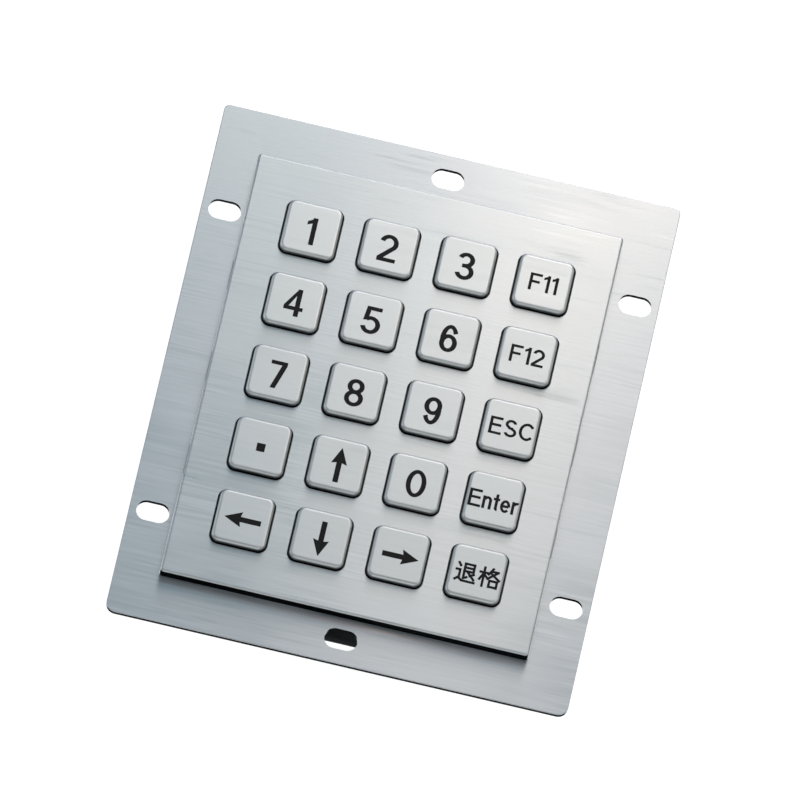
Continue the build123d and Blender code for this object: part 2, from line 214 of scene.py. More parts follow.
def set_stops(ramp, stops):
    """The stops of a colour ramp, from (place, colour) pairs."""
    while len(ramp.elements) > 1:
        ramp.elements.remove(ramp.elements[0])
    for number, (place, colour) in enumerate(stops):
        stop = ramp.elements[0] if number == 0 else ramp.elements.new(place)
        stop.position = place
        stop.color = colour


def new_material(name):
    """A material and the Finish that fills it."""
    material = bpy.data.materials.new(name)
    material.use_nodes = True
    return material, Finish(material.node_tree)


def set_surface(finish, shader):
    finish.node("OutputMaterial", sockets={"Surface": shader})


print("a Finish makes every other node, from its type, its settings and its sockets")

# %% [markdown]
# ## Floor and surroundings
# The floor is a pale sheet that the keypad lies on. For light that bounces, it is plain diffuse
# white. Where the camera or a reflection looks at it, part of its white is emitted, so that the
# sheet reads as white, while its diffuse part still takes the keypad's soft shadow. Seen from
# below it is clear. The glow is a look and no lamp, so Cycles is told not to sample it as one:
# otherwise the seam between the sheet's two huge triangles draws a line across the steel. The
# world is one even grey, dim enough that the lamps model the metal.

# %% Floor
floor_half = 6.0
floor_z = cad_box[0][2]

floor_mesh = bmesh.new()
bmesh.ops.create_grid(floor_mesh, x_segments=1, y_segments=1, size=floor_half)
bmesh.ops.translate(floor_mesh, verts=floor_mesh.verts, vec=(0, 0, floor_z))
floor = put_in_scene("floor", as_data("floor", floor_mesh))
print("floor at z in mm:", round(floor_z / mm, 2))

# %% The floor's white
# the white of light that bounces, and the two parts of the white that is looked at
floor_bounce = 0.75
floor_paint, floor_glow = 0.30, 0.92

floor_material, sheet = new_material("floor_white")
floor_material.cycles.emission_sampling = "NONE"
rays = [sheet.node("LightPath", output=f"Is {kind} Ray") for kind in ("Camera", "Glossy", "Transmission")]
looked_at = rays[0] + rays[1] + rays[2]
bounce = sheet.node("BsdfDiffuse", sockets={"Color": (floor_bounce, floor_bounce, floor_bounce, 1)})
paint = sheet.node("BsdfDiffuse", sockets={"Color": (floor_paint, floor_paint, floor_paint, 1)})
glow = sheet.node("Emission", sockets={"Color": (1, 1, 1, 1), "Strength": floor_glow})
shown = sheet.node("AddShader", sockets={0: paint, 1: glow})
top_side = sheet.node("MixShader", sockets={0: looked_at, 1: bounce, 2: shown})
clear = sheet.node("BsdfTransparent")
under_side = sheet.node("NewGeometry", output="Backfacing")
set_surface(sheet, sheet.node("MixShader", sockets={0: under_side, 1: top_side, 2: clear}))
floor.data.materials.append(floor_material)
print("floor nodes:", len(floor_material.node_tree.nodes))

# %% World
world_grey = (0.23, 0.25, 0.275, 1)

world = bpy.data.worlds.new("studio")
world.use_nodes = True
room = Finish(world.node_tree)
background = room.node("Background", sockets={"Color": world_grey, "Strength": 1.0})
room.node("OutputWorld", sockets={"Surface": background})
bpy.context.scene.world = world
print("world grey:", world_grey[:3])

# %% [markdown]
# ## Lamps
# Brushed steel shows its lamps: the tone of the sheet is the tone of what it mirrors, smeared
# across the grain. Five wide softboxes stand about a metre away: two behind the top edge, which
# also draw the bright line on the far edge of each key, one low in front, a cool one at the left
# and a warm one high at the right. Three small lamps hang close to the keypad, and make its
# middle and its upper right brighter than its lower left. Together they bring a white surface
# near to white, and no further, so that each finish can be written in its own colour.

# %% Lamps
middle_of_panel = (0, 0, 0)
# place, aim, width, height, watts, colour
lamps = {
    "low_back_softbox": ((0.0, 0.94, 0.342), middle_of_panel, 0.9, 0.35, 1.56, (0.70, 0.76, 1.0)),
    "back_softbox": ((0.0, 0.53, 0.848), middle_of_panel, 0.9, 0.3, 0.96, (0.55, 0.86, 1.0)),
    "low_front_softbox": ((0.0, -0.966, 0.259), middle_of_panel, 0.9, 0.3, 1.56, (1.0, 0.98, 0.92)),
    "left_softbox": ((-0.966, 0.0, 0.259), middle_of_panel, 0.3, 0.9, 2.04, (0.90, 0.97, 1.0)),
    "right_softbox": ((0.707, 0.0, 0.707), middle_of_panel, 0.5, 0.9, 2.28, (1.0, 0.93, 0.80)),
    "near_strip": ((0.02, 0.11, 0.28), (0.02, 0, 0), 0.06, 0.25, 0.0486, (1.0, 0.79, 0.68)),
    "near_back_left": ((-0.03, 0.22, 0.19), (-0.03, 0, 0), 0.12, 0.16, 0.130, (1.0, 0.88, 0.76)),
    "near_back_right": ((0.09, 0.22, 0.19), (0.09, 0, 0), 0.12, 0.16, 0.206, (1.0, 0.83, 0.70)),
}
for name, (place, aim, width, height, watts, colour) in lamps.items():
    data = bpy.data.lights.new(name, "AREA")
    data.shape = "RECTANGLE"
    data.size = width
    data.size_y = height
    data.energy = watts
    data.color = colour
    lamp = put_in_scene(name, data)
    lamp.location = place
    lamp.rotation_euler = (Vector(aim) - Vector(place)).to_track_quat("-Z", "Y").to_euler()
    lamp.visible_camera = False
print("lamps:", sorted(lamps))

# %% [markdown]
# ## Grain
# Brushed sheet is covered in fine parallel scratches. Drawing them one by one would take millions
# of faces, so they are noise, drawn out along X by dividing the position by a length and a much
# smaller width. The same drawn-out noise tints the steel, roughens it and lifts it a little. With
# equal length and width, the same function gives the even grain of cast and moulded pieces.

# %% Noise in millimetres
def speckle(finish, length, width, detail=2.0, start=0.0):
    """Noise whose spots are as long (along X) and as wide as said, around 0.5."""
    here = finish.node("TexCoord", output="Object")
    per_spot = (1 / (length * mm), 1 / (width * mm), 1 / (width * mm))
    counted = finish.node("VectorMath", {"operation": "MULTIPLY"}, {0: here, 1: per_spot})
    moved = finish.node("VectorMath", {"operation": "ADD"}, {0: counted, 1: (start, start, start)})
    return finish.node("TexNoise", sockets={"Vector": moved, "Scale": 1.0, "Detail": detail})


def between(finish, value, low, high):
    """0 below low, 1 above high, smooth between the two."""
    return finish.node(
        "MapRange", {"interpolation_type": "SMOOTHSTEP"},
        {"Value": value, "From Min": low, "From Max": high, "To Min": 0.0, "To Max": 1.0},
    )


def lifted(finish, height, depth):
    """A normal that follows a height from 0 to 1, that many millimetres deep."""
    return finish.node("Bump", sockets={"Height": height, "Distance": depth * mm, "Strength": 1.0})


print("spots of 2 mm in a metre:", round(1 / (2 * mm)))

# %% Colours and shaders
def shade(colour, share):
    return tuple(min(1.0, part * share) for part in colour[:3])


def tint(finish, amount, first, second):
    """A colour between two others, each a Wire or three numbers."""
    first, second = (c if isinstance(c, Wire) else (*c[:3], 1) for c in (first, second))
    sockets = {"Factor_Float": amount, "A_Color": first, "B_Color": second}
    return finish.node("Mix", {"data_type": "RGBA"}, sockets, "Result_Color")


def principled(finish, **sockets):
    """One Principled shader. An underscore in a name stands for a space."""
    named = {name.replace("_", " "): value for name, value in sockets.items()}
    return finish.node("BsdfPrincipled", sockets=named)


print("half of mid grey:", shade((0.5, 0.5, 0.5), 0.5))

# %% [markdown]
# ## Painted shade on walls
# The flats are polished and mirror the lamps, but a few walls get painted shade, a nearly black
# colour that stands for the shade and dark reflections on them: the wall under the raised face,
# which looks down on the flange, the wall of the box below it, and the walls inside the key
# windows. The other sides of the raised face get a lighter painted shade. Picking faces by hand
# would break when a size changes, so a mask tells the walls apart by where they look and where they
# lie. Each edge of the mask fades, so a rounded edge darkens little by little.

# %% Where a point lies and looks
def from_middle(finish, here, node):
    """How far a point lies from the middle of a piece's box, in X, Y and Z."""
    low, high = corners_of(node)
    centred = finish.node("VectorMath", {"operation": "SUBTRACT"}, {0: here, 1: (low + high) / 2})
    return finish.node("VectorMath", {"operation": "ABSOLUTE"}, {0: centred})


def axis_of(finish, vector, axis):
    return finish.node("SeparateXYZ", sockets={0: vector}, output=axis)


def larger(finish, first, second):
    return finish.node("Math", {"operation": "MAXIMUM"}, {0: first, 1: second})


print("the face's middle in mm:", [round(v / mm, 2) for v in sum(corners_of("face_shell"), Vector()) / 2])

# %% Masks
# how much of the normal points along Z, from a wall to a flat, and along -Y, down the sheet
level_fade = (0.10, 0.45)
down_fade = (0.25, 0.75)
# behind the flange, the painted shade fades on the way out to the sides, here in millimetres
behind_fade = (-0.5, 0.0)
rear_fade = (6.0, 38.0)
# half the field of key windows in X and Y, and how softly masks begin, in millimetres
window_field = (38.6, 48.6)
window_fade, raised_fade = 0.5, 0.1
key_fade = (-0.3, 0.1)
# how much painted shade the other raised sides get
side_painted_shade = 0.7


def painted_shade_walls(finish, here):
    """Where painted shade goes: 1 on walls that look down the sheet or stand in a key window, less on the
    raised sides.
    """
    facing = finish.node("NewGeometry", output="Normal")
    upright = 1 - between(finish, abs(axis_of(finish, facing, "Z")), *level_fade)
    looks_down = between(finish, 0 - axis_of(finish, facing, "Y"), *down_fade)
    away = from_middle(finish, here, "face_shell")
    height = axis_of(finish, here, "Z")
    behind = 1 - between(finish, height, behind_fade[0] * mm, behind_fade[1] * mm)
    far_out = between(finish, axis_of(finish, away, "X"), rear_fade[0] * mm, rear_fade[1] * mm)
    # the painted shade on the box wall behind the flange fades out towards its ends
    looks_down = looks_down * (1 - behind * far_out)
    in_windows = 1.0
    for axis, reach in zip("XY", window_field):
        side = between(finish, axis_of(finish, away, axis), reach * mm, (reach + window_fade) * mm)
        in_windows = (1 - side) * in_windows
    flange_top = corners_of("mounting_flange")[1].z
    raised = between(finish, height, flange_top, flange_top + raised_fade * mm)
    # painted shade: full on walls that look down the sheet and in key windows, partial on the raised sides
    return upright * larger(finish, larger(finish, looks_down, in_windows), raised * side_painted_shade)


def under_face(finish, here):
    """Where a key gets painted shade: 1 on the part of the key that stands in its window."""
    face_top = corners_of("face_shell")[1].z
    low, high = (face_top + height * mm for height in key_fade)
    return 1 - between(finish, axis_of(finish, here, "Z"), low, high)


print("masks run from 0 to 1, and on the raised sides to", side_painted_shade)

# %% [markdown]
# ## Weld stains
# The box is welded to the flange from behind, and a hot weld leaves rings of blue, brown and straw
# on the steel round it. The beads lie evenly on both sides of the middle, so the sheet is folded
# to one quarter by taking the size of X and Y, and three beads stand for all ten. The distance to
# the nearest one, rippled by a little noise, drives a colour ramp. Front faces stay clean.

# %% Weld stains
# gaps between the beads along the sides and along the ends, and the stain's reach, in millimetres
side_bead_gap, end_bead_gap = 25.4, 56.8
stain_reach = 5.5
stain_colours = (
    (0.20, (0.34, 0.34, 0.35, 1)), (0.42, (0.20, 0.23, 0.34, 1)), (0.58, (0.36, 0.25, 0.24, 1)),
    (0.75, (0.52, 0.40, 0.24, 1)), (1.00, (0.62, 0.57, 0.48, 1)),
)
# where a stain fades out, as a share of its reach and as a height in the sheet in millimetres
stain_fade = (0.55, 1.0)
back_fade = (0.2, 0.9)
ripple_size, ripple_share, ripple_start = 3.0, 0.35, 40.0


def weld_stain(finish, base, here, height):
    """The rainbow stain of a hot weld, round each bead, on the back of the sheet only."""
    low, high = corners_of("weld_beads")
    reach = (high - low) / 2
    folded = from_middle(finish, here, "weld_beads")
    beads = ((reach.x, 0, 0), (reach.x, side_bead_gap * mm, 0), (end_bead_gap / 2 * mm, reach.y, 0))
    nearest = 1.0
    for bead in beads:
        away = finish.node("VectorMath", {"operation": "DISTANCE"}, {0: folded, 1: bead}, "Value")
        nearest = finish.node("Math", {"operation": "MINIMUM"}, {0: nearest, 1: away})
    ripple = speckle(finish, ripple_size, ripple_size, start=ripple_start)
    share = nearest * (1 / (stain_reach * mm)) + (ripple - 0.5) * ripple_share
    stain = finish.node("ValToRGB", {"stops": stain_colours}, {"Fac": share}, "Color")
    on_back = 1 - between(finish, height, back_fade[0] * mm, back_fade[1] * mm)
    strength = (1 - between(finish, share, *stain_fade)) * on_back
    return tint(finish, strength, base, stain)


print("weld stain reaches", stain_reach, "mm")

# %% [markdown]
# ## Brushed steel
# A brush leaves lines of every length: hairs, streaks and a few long ones, bolder in some patches
# than in others, over slow clouds where the brush pressed harder. Each is a layer of drawn-out
# noise with its own start, so that no two line up. The lines also smear a reflection across the
# grain and keep it sharp along it, which is what Anisotropic does. One shader is the polished
# flat, a second one is painted shade: dark, rougher and with little gloss, and a Mix Shader picks
# between them by the mask of painted shade on walls. Under these lamps the record's colours come out
# lighter and warmer than such a keypad is, so each sheet keeps about four fifths of them, and a
# little more of the blue.

# %% Lines of the brush
# length and width in millimetres, detail, start
brush_layers = {
    "hair": (12.0, 0.35, 2.0, 0.0),
    "streak": (22.0, 0.80, 2.0, 5.0),
    "long": (60.0, 2.0, 2.0, 11.0),
    "cloud": (30.0, 14.0, 1.0, 9.0),
    "patch": (14.0, 7.0, 1.0, 17.0),
}
hair_share, streak_share, long_share = 0.25, 0.50, 0.25
patch_fade = (0.35, 0.65)
patch_more, patch_least = 1.2, 0.4
line_share, cloud_share = 0.75, 0.40


def brush_lines(finish, start_at):
    """The height of the grain, around 0.5."""
    hair, streak, long, cloud, patch = (
        speckle(finish, length, width, detail, start_at + layer_start)
        for length, width, detail, layer_start in brush_layers.values()
    )
    lines = hair_share * hair + streak_share * streak + long_share * long - 0.5
    boldness = between(finish, patch, *patch_fade) * patch_more + patch_least
    return lines * boldness * line_share + (cloud - 0.5) * cloud_share + 0.5


print("layers of the brush:", sorted(brush_layers))

# %% Brushed steel
record_colour = {m["slot"]: m["base_color"] for m in frame["record"]["materials"]}
kept_colour = (0.77, 0.80, 0.826)
grain_depth = 0.006
tint_gain, rough_gain = 5.0, 0.5
# painted shade on walls: its share of the colour, its spread, the added roughness and the tint of the gloss
painted_shade_share, painted_shade_spread = 0.16, 0.25
wall_roughness = 0.15
wall_gloss = (0.15, 0.15, 0.15, 1)


def brushed_steel(name, roughness, smear, contrast, mask, start_at=0.0, stained=False):
    """Steel brushed along X, with a darker, duller shader of painted shade where the mask says."""
    material, finish = new_material(name)
    colour = tuple(part * share for part, share in zip(record_colour[name], kept_colour))
    here = finish.node("TexCoord", output="Object")
    grain = brush_lines(finish, start_at)
    amount = (grain - 0.5) * tint_gain + 0.5
    base = tint(finish, amount, shade(colour, 1 - contrast), shade(colour, 1 + contrast))
    if stained:
        base = weld_stain(finish, base, here, axis_of(finish, here, "Z"))
    # painted shade: a dark share of the steel's colour, with the same grain
    painted_shade_colour = tint(
        finish, amount, shade(colour, painted_shade_share * (1 - painted_shade_spread)), shade(colour, painted_shade_share * (1 + painted_shade_spread)),
    )
    rough = (grain - 0.5) * rough_gain + roughness
    steady = {"Metallic": 1.0, "Anisotropic": smear, "Normal": lifted(finish, grain, grain_depth)}
    bright = principled(finish, Base_Color=base, Roughness=rough, **steady)
    # the shader of painted shade, rougher and with a dim gloss
    dark = principled(
        finish, Base_Color=painted_shade_colour, Roughness=rough + wall_roughness, Specular_Tint=wall_gloss, **steady,
    )
    set_surface(finish, finish.node("MixShader", sockets={0: mask(finish, here), 1: bright, 2: dark}))
    return material


# roughness, smear, contrast, mask and start of the grain
finishes = {
    "brushed_flange": brushed_steel("brushed_flange", 0.38, 0.9, 0.10, painted_shade_walls, stained=True),
    "brushed_face": brushed_steel("brushed_face", 0.38, 0.9, 0.10, painted_shade_walls, 31.0),
    # the keys get painted shade where they stand in their windows
    "key_steel": brushed_steel("key_steel", 0.49, 0.5, 0.04, under_face, 57.0),
    "satin_cover": brushed_steel("satin_cover", 0.48, 0.5, 0.06, painted_shade_walls, 83.0),
}
print("brushed finishes:", sorted(finishes))

# %% [markdown]
# ## Other finishes
# The rest are plain cast, plated, moulded or printed surfaces. What sets them apart is their
# colour, their gloss and the size and depth of their grain, so two functions make them all. Each
# takes a slow cloud of colour, and a fine grain of its own size in millimetres.

# %% Plated metal
grain_start = 7.0
# the cloud's size in grains, the change of colour and of roughness, and the grain's share in colour
plated_cloud, plated_contrast, plated_rough_gain = 6, 0.12, 0.3
grain_share = 0.5


def plated_metal(name, colour, roughness, spot, depth):
    material, finish = new_material(name)
    cloud = speckle(finish, spot * plated_cloud, spot * plated_cloud)
    grain = speckle(finish, spot, spot, detail=3.0, start=grain_start)
    amount = cloud + grain_share * (grain - 0.5)
    base = tint(finish, amount, shade(colour, 1 - plated_contrast), shade(colour, 1 + plated_contrast))
    rough = (cloud - 0.5) * plated_rough_gain + roughness
    normal = lifted(finish, grain, depth)
    plated = principled(finish, Base_Color=base, Metallic=1.0, Roughness=rough, Normal=normal)
    set_surface(finish, plated)
    return material


# roughness, grain size and grain depth in millimetres
metals = {
    "weld_steel": (0.42, 0.5, 0.03),
    "zinc_plate": (0.42, 1.2, 0.004),
    "zinc_fasteners": (0.36, 0.5, 0.003),
    "steel_screws": (0.30, 0.4, 0.003),
    "brass_standoffs": (0.32, 0.4, 0.003),
    "carbon_gold": (0.30, 0.5, 0.002),
    "tinned_leads": (0.34, 0.3, 0.002),
    "nickel_can": (0.26, 0.6, 0.002),
    "capacitor_can": (0.34, 0.4, 0.002),
}
for name, (roughness, spot, depth) in metals.items():
    finishes[name] = plated_metal(name, record_colour[name], roughness, spot, depth)
print("plated finishes:", len(metals))

# %% Moulded plastic and paint
moulded_cloud, moulded_contrast, moulded_rough_gain = 8, 0.15, 0.2
paint_black, paint_gloss = (0.006, 0.006, 0.007), 0.2


def moulded(name, colour, roughness, spot, depth, **steady):
    material, finish = new_material(name)
    cloud = speckle(finish, spot * moulded_cloud, spot * moulded_cloud)
    grain = speckle(finish, spot, spot, start=grain_start)
    base = tint(finish, cloud, shade(colour, 1 - moulded_contrast), shade(colour, 1 + moulded_contrast))
    rough = (grain - 0.5) * moulded_rough_gain + roughness
    normal = lifted(finish, grain, depth)
    set_surface(finish, principled(finish, Base_Color=base, Roughness=rough, Normal=normal, **steady))
    return material


# roughness, grain size and grain depth in millimetres
plastics = {
    "black_abs": (0.48, 0.35, 0.012),
    "grey_silicone": (0.55, 0.5, 0.006),
    "green_board": (0.32, 0.8, 0.006),
    "amber_film": (0.22, 3.0, 0.004),
    "black_rubber": (0.62, 0.4, 0.015),
    "black_epoxy": (0.50, 0.25, 0.008),
    "white_nylon": (0.42, 0.4, 0.006),
    "ceramic_brown": (0.45, 0.15, 0.003),
    "resistor_black": (0.30, 0.15, 0.002),
}
for name, (roughness, spot, depth) in plastics.items():
    finishes[name] = moulded(name, record_colour[name], roughness, spot, depth)
finishes["legend_paint"] = moulded(
    "legend_paint", paint_black, roughness=0.65, spot=0.2, depth=0.004, Specular_IOR_Level=paint_gloss,
)
print("all finishes:", len(finishes))

# %% [markdown]
# ## Putting the finishes on
# The record says which slot each piece of the frame takes its finish from, so a loop does it. A
# brushed piece also needs a fixed grain direction: the shader smears across the direction that
# circles the middle of the piece's texture space. With that middle moved far away to the side,
# the circle is a straight line up the sheet, and the grain runs straight across it.

# %% Finish every frame piece
far_left = -1000.0
for part in frame["record"]["subparts"]:
    piece = nodes[part["node"]]
    piece.data.materials.clear()
    piece.data.materials.append(finishes[part["material_slot"]])
    piece.data.use_auto_texspace = False
    piece.data.texspace_location = (far_left, 0, 0)
    piece.data.texspace_size = (1, 1, 1)

# %% [markdown]
# ## Legends
# The legends are etched into the key tops and filled with black paint. A font would do for the
# digits, but not for these arrows and signs, so each sign is drawn from a few simple shapes: boxes
# for straight strokes, elliptical bands for bows. A shape is a list of points. Signs are drawn one
# unit high, with a pen that is a little thicker for uprights than for flats, as in most plain
# lettering, and each drawing gives its width with its shapes.

# %% Shapes on paper
band_steps = 28


def box(left, low, right, high):
    return [(left, low), (right, low), (right, high), (left, high)]


def band(centre, radii, pen, first, last):
    """A bow: an elliptical band between two angles in degrees, anticlockwise."""
    angles = [math.radians(first + (last - first) * i / band_steps) for i in range(band_steps + 1)]
    outer = [(centre[0] + radii[0] * math.cos(a), centre[1] + radii[1] * math.sin(a)) for a in angles]
    inner_x, inner_y = radii[0] - pen[0], radii[1] - pen[1]
    inner = [(centre[0] + inner_x * math.cos(a), centre[1] + inner_y * math.sin(a)) for a in angles]
    return outer + inner[::-1]


def ring(centre, radii, pen):
    """A closed bow, as two halves that meet exactly."""
    return [band(centre, radii, pen, 0, 180), band(centre, radii, pen, 180, 360)]


def stroke(start_x, start_y, end_x, end_y, width, past=0.0):
    """A straight stroke with square ends, run past its two points."""
    along = Vector((end_x - start_x, end_y - start_y)).normalized()
    side = Vector((-along.y, along.x)) * width / 2
    first = Vector((start_x, start_y)) - along * past
    last = Vector((end_x, end_y)) + along * past
    return [tuple(p) for p in (first - side, last - side, last + side, first + side)]


def turned(shape, degrees, middle=(0, 0)):
    spin = Matrix.Rotation(math.radians(degrees), 2)
    middle = Vector(middle)
    return [tuple(spin @ (Vector(point) - middle) + middle) for point in shape]


print("half a ring has", len(ring((0, 0), (1, 1), (0.2, 0.2))[0]), "points")

# %% Digits of straight strokes
def draw_one(pen):
    upright, flat = pen
    right = 0.34
    stem = right - upright
    flag = [
        (0, 0.71), (stem, 0.93 - flat), (right, 1), (stem + 0.03, 1), (stem - 0.03, 0.92), (0, 0.71 + flat),
    ]
    return right, [box(stem, 0, right, 1), flag]


def draw_four(pen):
    upright, flat = pen
    width, right, shelf = 0.67, 0.55, 0.215
    slope = [
        (0, shelf), (upright * 0.6, shelf), (upright, shelf + flat), (right - upright * 0.9, 0.78),
        (right - upright * 0.5, 0.78), (right - upright * 0.5, 1), (right - upright * 0.85, 1),
        (0, shelf + flat),
    ]
    return width, [box(right - upright, 0, right, 1), box(0, shelf, width, shelf + flat), slope]


def draw_seven(pen):
    upright, flat = pen
    right, foot = 0.565, 0.12
    leg = [
        (foot, 0), (foot + upright * 1.05, 0), (right, 1 - flat), (right, 1 - flat / 2),
        (right - upright * 1.1, 1 - flat / 2), (right - upright * 1.1, 1 - flat),
    ]
    return right, [box(0, 1 - flat, right, 1), leg]


digits = {"1": draw_one, "4": draw_four, "7": draw_seven}
print("digits so far:", sorted(digits))

# %% Digits of closed bows
digit_width = 0.65
digit_half = digit_width / 2


def draw_zero(pen):
    half = 0.345
    return half * 2, ring((half, 0.5), (half, 0.5), pen)


def draw_six(pen):
    slim = 0.305
    tail = band((slim, 0.5), (slim, 0.5), pen, 28, 200)
    return slim * 2, ring((slim, 0.325), (slim, 0.325), pen) + [tail]


def draw_eight(pen):
    upper = ring((digit_half, 0.73), (digit_half * 0.9, 0.27), pen)
    lower = ring((digit_half, 0.295), (digit_half, 0.295), pen)
    return digit_width, upper + lower


def draw_nine(pen):
    width, shapes = draw_six(pen)
    return width, [turned(shape, 180, (width / 2, 0.5)) for shape in shapes]


digits.update({"0": draw_zero, "6": draw_six, "8": draw_eight, "9": draw_nine})
print("digits so far:", sorted(digits))

# %% Digits of open bows
digit_height, digit_pen = 7.4, (0.168, 0.138)


def draw_two(pen):
    upright, flat = pen
    bow = band((digit_half, 0.69), (digit_half, 0.31), pen, -35, 168)
    outer, inner = bow[0], bow[-1]
    leg = [inner, (0, flat + 0.01), (0, flat / 2), (upright * 1.3, flat / 2), (upright * 1.3, flat), outer]
    return digit_width, [bow, leg, box(0, 0, digit_width, flat)]


def draw_three(pen):
    waist, half_flat = 0.515, pen[1] / 2
    upper = band((digit_half - 0.01, 0.725), (digit_half * 0.92, 0.275), pen, -90, 162)
    lower = band((digit_half, 0.29), (digit_half, 0.29), pen, -166, 90)
    tongue = box(digit_half - 0.12, waist - half_flat, digit_half, waist + half_flat)
    return digit_width, [upper, lower, tongue]


def draw_five(pen):
    upright, flat = pen
    bowl = band((digit_half - 0.015, 0.325), (digit_half + 0.015, 0.325), pen, -166, 132)
    back = [(0.03, 0.47), (upright + 0.03, 0.50), (0.09 + upright, 1), (0.09, 1)]
    return digit_width, [bowl, back, box(0.10, 1 - flat, digit_width * 0.95, 1)]


digits.update({"2": draw_two, "3": draw_three, "5": draw_five})
print("widths of the digits:", {sign: draw(digit_pen)[0] for sign, draw in sorted(digits.items())})

# %% Capitals
letter_height, letter_pen = 4.7, (0.16, 0.145)


def draw_capital_f(pen):
    upright, flat = pen
    return 0.66, [box(0, 0, upright, 1), box(0, 1 - flat, 0.66, 1), box(0, 0.44, 0.57, 0.44 + flat)]


def draw_capital_e(pen):
    upright, flat = pen
    arms = [box(0, 1 - flat, 0.68, 1), box(0, 0.46, 0.64, 0.46 + flat), box(0, 0, 0.70, flat)]
    return 0.70, [box(0, 0, upright, 1)] + arms


def draw_capital_s(pen):
    upper = band((0.34, 0.735), (0.31, 0.265), pen, 14, 262)
    lower = band((0.36, 0.275), (0.34, 0.275), pen, -166, 82)
    return 0.70, [upper, lower, stroke(0.24, 0.525, 0.47, 0.49, pen[1], 0.02)]


def draw_capital_c(pen):
    return 0.78, [band((0.43, 0.5), (0.43, 0.5), pen, 38, 322)]


letters = {"F": draw_capital_f, "E": draw_capital_e, "S": draw_capital_s, "C": draw_capital_c}
print("widths of the capitals:", {sign: draw(letter_pen)[0] for sign, draw in letters.items()})

# %% Small letters
small_height = 0.73


def draw_small_n(pen):
    upright = pen[0]
    arch = band((0.275, small_height - 0.25), (0.235, 0.25), pen, 0, 165)
    right_stem = box(0.51 - upright, 0, 0.51, small_height - 0.24)
    return 0.51, [box(0, 0, upright, small_height), arch, right_stem]


def draw_small_t(pen):
    upright, flat = pen
    hook = band((0.27, 0.16), (0.17, 0.16), pen, 180, 275)
    cross = box(0, small_height - flat, 0.34, small_height)
    return 0.34, [box(0.10, 0.15, 0.10 + upright, 0.95), cross, hook]


def draw_small_e(pen):
    upright, flat = pen
    waist = small_height / 2
    bowl = band((0.27, waist), (0.27, waist), pen, 0, 322)
    return 0.54, [bowl, box(upright / 2, waist - flat / 2, 0.54 - upright / 2, waist + flat / 2)]


def draw_small_r(pen):
    curl = band((0.27, small_height - 0.24), (0.23, 0.24), pen, 62, 165)
    return 0.37, [box(0, 0, pen[0], small_height), curl]


letters.update({"n": draw_small_n, "t": draw_small_t, "e": draw_small_e, "r": draw_small_r})
print("widths of all letters:", {sign: draw(letter_pen)[0] for sign, draw in letters.items()})

# %% [markdown]
# The last key says "backspace" in Chinese, in two square characters: one for going back and one for
# a square on a grid. A brush writer's way is a good one for code too: each stroke is one line
# between two places on a square, and the square ends of the strokes overlap so that corners close.

# %% Two characters for backspace
character_height, character_pen = 5.3, 0.12
character_width, character_gap = 0.97, 0.17
square_end = 0.4
strokes_of_back = [
    (0.40, 0.94, 0.86, 0.94), (0.86, 0.94, 0.86, 0.56), (0.40, 0.75, 0.86, 0.75), (0.40, 0.57, 0.86, 0.57),
    (0.42, 0.94, 0.42, 0.20), (0.42, 0.20, 0.58, 0.28), (0.90, 0.47, 0.70, 0.36), (0.56, 0.56, 0.93, 0.19),
    (0.10, 0.95, 0.21, 0.80), (0.03, 0.60, 0.22, 0.60), (0.21, 0.60, 0.21, 0.24), (0.21, 0.24, 0.03, 0.08),
    (0.16, 0.20, 0.36, 0.07), (0.36, 0.07, 0.97, 0.06),
]
strokes_of_square = [
    (0.21, 0.98, 0.21, 0.02), (0.02, 0.72, 0.42, 0.72), (0.20, 0.68, 0.03, 0.34), (0.24, 0.62, 0.40, 0.46),
    (0.62, 0.98, 0.43, 0.66), (0.57, 0.84, 0.88, 0.84), (0.88, 0.84, 0.41, 0.43), (0.54, 0.74, 0.98, 0.44),
    (0.53, 0.36, 0.90, 0.36), (0.53, 0.36, 0.53, 0.04), (0.90, 0.36, 0.90, 0.04), (0.53, 0.06, 0.90, 0.06),
]


def draw_character(strokes):
    shapes = [stroke(*ends, character_pen, character_pen * square_end) for ends in strokes]
    return character_width, shapes


print("strokes:", len(strokes_of_back), "and", len(strokes_of_square))

# %% [markdown]
# An arrow is one outline, drawn to the right and turned, and the dot is a square. Digits and
# letters are set side by side as words. Either way a legend ends up as a list of shapes in
# millimetres, round the middle of its key.

# %% Arrows and dot
arrow_length, arrow_head, arrow_head_width, arrow_shaft = 9.4, 4.1, 4.1, 1.4
arrow_barb = 0.35
dot_side = 2.2


def arrow(degrees):
    tip, tail = arrow_length / 2, -arrow_length / 2
    neck, half_shaft = tip - arrow_head, arrow_shaft / 2
    upper = [(tip, 0), (neck - arrow_barb, arrow_head_width / 2), (neck, half_shaft), (tail, half_shaft)]
    lower = [(x, -y) for x, y in upper[:0:-1]]
    return [turned(upper + lower, degrees)]


print("points of an arrow:", len(arrow(0)[0]))

# %% Words
letter_gap, enter_gap = 0.11, 0.065


def word(drawings, height, gap):
    """Signs side by side, centred on the origin, in millimetres."""
    shapes, right = [], 0.0
    for width, drawn in drawings:
        shapes += [[(x + right, y) for x, y in shape] for shape in drawn]
        right += width + gap
    middle = (right - gap) / 2
    return [[((x - middle) * height, (y - 0.5) * height) for x, y in shape] for shape in shapes]


